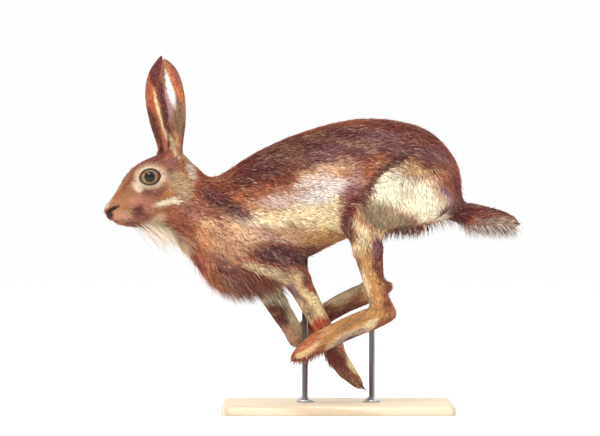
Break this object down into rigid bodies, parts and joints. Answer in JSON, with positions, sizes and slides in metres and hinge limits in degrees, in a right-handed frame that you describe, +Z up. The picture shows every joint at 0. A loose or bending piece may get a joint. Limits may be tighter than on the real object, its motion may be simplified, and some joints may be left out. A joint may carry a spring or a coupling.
{
  "type": "brown hare, life-size still model on a display stand",
  "caption": "Life-size brown hare at full gallop, gathered in mid-stride with ears up and tail out, held over a flat base by short upright rods.",
  "frame": {"origin": "centre of the underside of the stand's base", "axes": "+Z up; the hare runs towards -X, so +X points to its tail; +Y is the hare's right side"},
  "size_m": [0.5422, 0.17, 0.4631],
  "materials": {
    "fur": "dense short fur, rusty brown with dark ticking and paler flanks",
    "tail_fur": "dense fur, dark brown above and greyish white below",
    "foot_fur": "short close fur, ochre to reddish brown",
    "eye": "wet, clear, amber iris round a large black pupil",
    "claw": "dark horn with a soft sheen",
    "stand_wood": "light wood, satin, softened edges",
    "stand_steel": "brushed, plain round rod"
  },
  "bodies": {
    "root": {"head": "fur", "neck": "fur", "chest": "fur", "belly": "fur", "rump": "fur", "ear_left": "fur", "upper_arm_left": "fur", "forearm_left": "fur", "thigh_left": "fur", "shin_left": "fur", "ear_right": "fur", "upper_arm_right": "fur", "forearm_right": "fur", "thigh_right": "fur", "shin_right": "fur", "tail": "tail_fur", "forepaw_left": "foot_fur", "hind_foot_left": "foot_fur", "eye_left": "eye", "forepaw_right": "foot_fur", "hind_foot_right": "foot_fur", "eye_right": "eye", "claw_forepaw_left_1": "claw", "claw_forepaw_left_2": "claw", "claw_forepaw_left_3": "claw", "claw_forepaw_left_4": "claw", "claw_hind_foot_left_1": "claw", "claw_hind_foot_left_2": "claw", "claw_hind_foot_left_3": "claw", "claw_hind_foot_left_4": "claw", "claw_forepaw_right_1": "claw", "claw_forepaw_right_2": "claw", "claw_forepaw_right_3": "claw", "claw_forepaw_right_4": "claw", "claw_hind_foot_right_1": "claw", "claw_hind_foot_right_2": "claw", "claw_hind_foot_right_3": "claw", "claw_hind_foot_right_4": "claw", "stand_base": "stand_wood", "stand_rod_front": "stand_steel", "stand_rod_rear": "stand_steel"}
  },
  "joints": []
}
